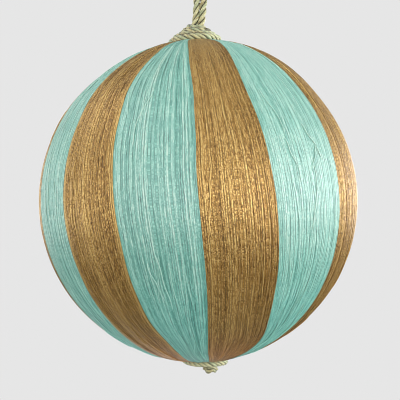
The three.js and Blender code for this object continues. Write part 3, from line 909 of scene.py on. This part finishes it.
def cord_piece(name, bottom, top, bodies, blend, replaced):
    """The part of the cord between two heights."""
    z = CORD[:, 2] - HANG_Z
    mesh = CordMesh()
    if top > HEAD_FOOT:  # the head itself, one run from leg to leg
        inside = np.where(z >= bottom)[0]
        mesh.add(cord_plies, inside[0], inside[-1] + 1)
    else:
        middle = len(CORD) // 2
        for leg in (np.arange(0, middle), np.arange(middle, len(CORD))):
            inside = leg[(z[leg] >= bottom) & (z[leg] <= top)]
            mesh.add(cord_plies, max(0, inside[0] - 1), min(len(CORD), inside[-1] + 2))
    piece = mesh.make(name)
    if blend is None:
        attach(piece, bodies[0])
    else:
        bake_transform(piece, *bodies, (0, 0, blend[0] * 0.001), (0, 0, blend[1] * 0.001))
    label(replaced)


for row in CORD_PIECES:
    cord_piece(*row)

# ------------------------------------------------------------------ rosettes and knot
TOP_COIL = [  # turns, radius, height: from the outside in and up
    (-0.16, 8.5, 49.4), (-0.05, 8.1, 50.7), (0.05, 7.85, 51.15), (0.5, 7.2, 51.65),
    (1.0, 6.4, 52.2), (1.5, 5.5, 52.75), (2.0, 4.6, 53.3), (2.5, 3.8, 53.85), (3.0, 3.0, 54.6),
    (3.5, 2.4, 55.35), (3.9, 2.1, 55.9), (4.08, 1.6, 55.4), (4.2, 1.1, 54.4),
]
BOTTOM_COIL = [  # turns, radius, height: off-centre turns working inwards
    (-0.1, 8.4, -49.4), (0.0, 7.9, -50.35), (0.1, 7.35, -50.75), (0.25, 6.2, -50.95),
    (0.5, 4.75, -51.1), (0.75, 5.3, -51.1), (1.0, 6.1, -51.05), (1.25, 4.6, -51.2),
    (1.5, 3.05, -51.5), (1.75, 3.7, -51.5), (2.0, 4.4, -51.4), (2.25, 2.9, -51.7),
    (2.5, 1.5, -51.9), (2.75, 2.0, -51.9), (3.0, 2.6, -51.8), (3.1, 2.0, -51.3),
]
KNOT_SIZE, KNOT_DEPTH = 0.6, 0.45
KNOT_X, KNOT_Z = 0.25, -53.45


def spiral_path(keys, start_deg, seed, step=0.16):
    """A coil's path, and at each point the direction to the next turn."""
    key_turns, key_radius, key_z = np.array(keys, float).T
    turns = np.linspace(key_turns[0], key_turns[-1], 4000)

    def softened(values):
        padded = np.pad(np.interp(turns, key_turns, values), 100,
                        mode="reflect", reflect_type="odd")
        return np.convolve(padded, np.ones(201) / 201, "valid")

    rng = np.random.RandomState(seed)
    radius = softened(key_radius) + 0.15 * wander(rng, 1, turns * 20, 5.0)[0]
    z = softened(key_z) + 0.12 * wander(rng, 1, turns * 20, 6.0)[0]
    angle = math.radians(start_deg) + turns * 2 * math.pi
    path = np.stack([radius * np.cos(angle), radius * np.sin(angle), z], 1)
    length = distance_along(path)
    stations = np.arange(0, length[-1], step)
    slope_r, slope_z = np.gradient(radius), np.gradient(z)
    across = np.stack([slope_r * np.cos(angle), slope_r * np.sin(angle), slope_z], 1)
    across = across / np.hypot(slope_r, slope_z)[:, None]
    across *= smooth((turns - 0.75) / 0.4)[:, None]  # the outermost turn has none outside it
    return [
        np.stack([np.interp(stations, length, column) for column in rows.T], 1)
        for rows in (path, across)
    ]


def cord_on_ball(name, plies, replaced, closed=False):
    mesh = CordMesh()
    mesh.add(plies, closed=closed)
    piece = mesh.make(name)
    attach(piece, "ball")
    label(replaced)


def top_rosette():
    path, valley = spiral_path(TOP_COIL, start_deg=200, seed=3)
    plies = twist_plies(path, 1.0, 5.6, np.random.RandomState(8), sides=16, valley=valley)
    # painted light: the coil is painted paler towards +X, the side the light comes from
    for ring, attributes in plies:
        pale = smooth((ring[..., 0] - 1.5) / 4.5)  # the cord is paler towards +X
        attributes["yarn"] = attributes["yarn"] * (1 - 0.45 * pale)
        attributes["tone"] = attributes["tone"] + 2.2 * pale
    cord_on_ball("rosette_top_cord", plies, "rosette_top_coil")


def bottom_rosette():
    path, _ = spiral_path(BOTTOM_COIL, start_deg=188, seed=4)
    plies = twist_plies(path, 0.86, 4.8, np.random.RandomState(9), sides=16)
    # painted light: the whole coil is painted paler, against the shade it lies in under the ball
    for _, attributes in plies:
        attributes["tone"] = attributes["tone"] + 2.4  # paler all over
    cord_on_ball("rosette_bottom_cord", plies, "rosette_bottom_coil")


def end_knot():
    """A closed trefoil under the bottom rosette."""
    angle = np.linspace(0, 2 * math.pi, 260, endpoint=False)
    path = np.stack([
        (np.sin(angle) + 2 * np.sin(2 * angle)) * KNOT_SIZE + KNOT_X,
        (np.cos(angle) - 2 * np.cos(2 * angle)) * KNOT_SIZE,
        -np.sin(3 * angle) * KNOT_DEPTH + KNOT_Z,
    ], 1)
    plies = twist_plies(path, 0.9, 4.2, np.random.RandomState(10), sides=14, closed=True)
    cord_on_ball("end_knot_cord", plies, "end_knot", closed=True)


top_rosette()
bottom_rosette()
end_knot()

# ------------------------------------------------------------------ the core, hidden inside
CORE_GAP, CORE_WALL, CORE_BORE_R = 0.45, 1.3, 9.25
TUBE_R_IN, TUBE_R_OUT, TUBE_TOP, TUBE_BEVEL = 7.9, 8.9, 44.6, 0.2


def lathe(name, profile, material, replaced, segments=120):
    """A closed (radius, height) profile turned round the bore's axis."""
    profile = np.array(profile, float)
    angle = np.linspace(0, 2 * math.pi, segments, endpoint=False)[None]
    radius, z = profile[:, :1], np.repeat(profile[:, 1:], segments, 1)
    x, y = radius * np.cos(angle), radius * np.sin(angle)
    verts = np.stack([off_axis(x, y, z), y, z], -1).reshape(-1, 3)
    length = distance_along(np.vstack([profile, profile[:1]]))
    edges_u = 0.01 + 0.98 * np.arange(segments + 1) / segments
    edges_v = (0.01 + 0.98 * length / length[-1])[:, None]
    uvs = tube_uvs(edges_u[:-1], edges_u[1:], edges_v[:-1], edges_v[1:])
    quads, uvs = face_out(verts, tube_quads(len(profile), segments, closed=True), uvs)
    piece = mesh_object(name, verts, quads, uvs, material, {})
    piece.data.set_sharp_from_angle(angle=math.radians(35))
    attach(piece, "ball")
    label(replaced)


def shell(top):
    """Profile of half the core; the lower half has a lip that stands up inside the upper."""
    sign = 1 if top else -1
    core_radius = lambda angle: float(winding(angle, top)[1] - CORE_GAP)
    outer, inner = [], []
    for angle in np.linspace(14, 88.5, 30):
        radius = core_radius(angle)
        up, across = math.cos(math.radians(angle)), math.sin(math.radians(angle))
        outer.append((radius * across, sign * radius * up))
        inner.append(((radius - CORE_WALL) * across, sign * (radius - CORE_WALL) * up))
    rim = core_radius(90)
    wall = rim - CORE_WALL
    points = [(CORE_BORE_R, sign * 46.0), *outer, (rim, sign * 0.2)]
    if top:
        points += [(wall, 0.2), (wall - 0.04, 3.6)]
        inner = [point for point in inner if point[1] > 3.9]
    else:
        lip = wall - 0.3
        points += [(lip, -0.2), (lip - 0.06, 3.0), (lip - 1.2, 3.0), (lip - 1.2, -3.0)]
        points += [(wall - 0.15, -3.0)]
        inner = [point for point in inner if point[1] < -3.3]
    return points + inner[::-1] + [(CORE_BORE_R, sign * 44.2)]


def tube_profile():
    lower = [
        (TUBE_R_IN, TUBE_BEVEL - TUBE_TOP), (TUBE_R_IN + TUBE_BEVEL, -TUBE_TOP),
        (TUBE_R_OUT - TUBE_BEVEL, -TUBE_TOP), (TUBE_R_OUT, TUBE_BEVEL - TUBE_TOP),
    ]
    return lower + [(radius, -z) for radius, z in reversed(lower)]


lathe("core_upper_moulding", shell(True), core_mat, "core_upper_shell")
lathe("core_lower_moulding", shell(False), core_mat, "core_lower_shell")
lathe("bore_tube_board", tube_profile(), tube_mat, "bore_tube", segments=96)

# ------------------------------------------------------------------ stage, light and camera
# In metres from here on.
PALE = srgb(230, 230, 230)
CENTRE = Vector((-OFF_CENTRE * 0.001, 0, BALL_Z))  # of the wound sphere
FLOOR_R, FLOOR_DROP = 3, 0.16
SKY = [  # brightness from each height up: -1 straight down, 1 straight up
    (-1, 0.538), (-0.85, 0.073), (-0.6, 0), (-0.1, 3.907), (0.1, 1.173), (0.35, 0.303),
    (0.7, 0.347),
]
PANEL_DISTANCE, PANEL_WATTS = 0.75, 3.0  # the power is for brightness 1
LONG, SMALL, BROAD = (0.9, 0.22), (0.3, 0.16), (0.5, 0.4)  # panel width and height
PANELS = [  # name, azimuth from the front towards +X, elevation (degrees), brightness, size
    ("front", 15, 2, 0.721, (0.38, 0.16)),
    ("right", 80, 2, 1.55, LONG),
    ("right_high", 80, 14, 0.738, LONG),
    ("left", -40, 14, 0.392, SMALL),
    ("left_high", -75, 50, 1.016, LONG),
    ("left_low", -60, -35, 0.146, BROAD),
    ("rear_low", -158, -36, 0.236, BROAD),
    ("rear", 168, 1, 0.857, LONG),
    ("overhead", 5, 50, 0.149, SMALL),
]
CAMERA_DISTANCE = 0.27
CAMERA_ROLL = 2.37  # degrees


def floor_material():
    """Glows pale from above; seen from under, the floor is not there."""
    material = bpy.data.materials.new("pale_floor")
    tree = Tree(material)
    glow = tree.node("Emission", {"Color": PALE})
    clear = tree.node("BsdfTransparent")
    under = tree.node("NewGeometry").outputs["Backfacing"]
    side = tree.node("MixShader", {0: under, 1: glow.outputs[0], 2: clear.outputs[0]})
    tree.node("OutputMaterial", {"Surface": side.outputs[0]})
    return material


def add_floor():
    angle = np.linspace(0, 2 * math.pi, 96, endpoint=False)
    level = np.full(96, BALL_Z - FLOOR_DROP)
    verts = np.stack([FLOOR_R * np.cos(angle), FLOOR_R * np.sin(angle), level], 1)
    mesh = bpy.data.meshes.new("floor")
    mesh.from_pydata([tuple(v) for v in verts], [], [tuple(range(96))])
    floor = bpy.data.objects.new("floor", mesh)
    scene.collection.objects.link(floor)
    mesh.materials.append(floor_material())
    floor.visible_diffuse = floor.visible_glossy = floor.visible_shadow = False


def add_world():
    """Banded light for the surfaces, an even pale backdrop for the camera."""
    world = bpy.data.worlds.new("studio")
    scene.world = world
    tree = Tree(world)
    direction = tree.node("TexCoord").outputs["Generated"]
    height = tree.node("SeparateXYZ", {0: direction}).outputs["Z"]
    up = tree.math("MULTIPLY_ADD", height, 0.5, 0.5, clamp=True)
    sky = tree.ramp(up, [(0.5 + z / 2, (grey,) * 3) for z, grey in SKY], "CONSTANT")
    lighting = tree.node("Background", {"Color": sky, "Strength": 1.0})
    backdrop = tree.node("Background", {"Color": PALE})
    seen = tree.node("LightPath").outputs["Is Camera Ray"]
    either = tree.node("MixShader", {0: seen, 1: lighting.outputs[0], 2: backdrop.outputs[0]})
    tree.node("OutputWorld", {"Surface": either.outputs[0]})


def add_panel(name, azimuth, elevation, brightness, size):
    """A rectangular light aimed at the ball."""
    around, up = math.radians(azimuth), math.radians(elevation)
    level = math.cos(up)
    direction = Vector((math.sin(around) * level, -math.cos(around) * level, math.sin(up)))
    light = bpy.data.lights.new(name, "AREA")
    light.shape = "RECTANGLE"
    light.size, light.size_y = size
    light.energy = PANEL_WATTS * brightness
    panel = bpy.data.objects.new(name, light)
    scene.collection.objects.link(panel)
    panel.location = CENTRE + direction * PANEL_DISTANCE
    panel.rotation_mode = "QUATERNION"
    panel.rotation_quaternion = (-direction).to_track_quat("-Z", "Y")
    panel.visible_camera = False


def add_camera():
    data = bpy.data.cameras.new("camera")
    data.lens, data.sensor_width = 76.13, 36.0
    data.shift_x, data.shift_y = 0.0045, 0.003625
    data.clip_start = 0.01
    camera = bpy.data.objects.new("camera", data)
    scene.collection.objects.link(camera)
    camera.location = CENTRE + Vector((0, -CAMERA_DISTANCE, 0))
    camera.rotation_mode = "QUATERNION"
    forward = Vector((0, 1, 0))
    roll = Quaternion(forward, math.radians(CAMERA_ROLL))
    camera.rotation_quaternion = roll @ forward.to_track_quat("-Z", "Y")
    scene.camera = camera


add_floor()
add_world()
for row in PANELS:
    add_panel(*row)
add_camera()
scene.cycles.filter_width = 0.9  # a sharp lens
scene.view_settings.view_transform = "Standard"
scene.view_settings.look = "None"
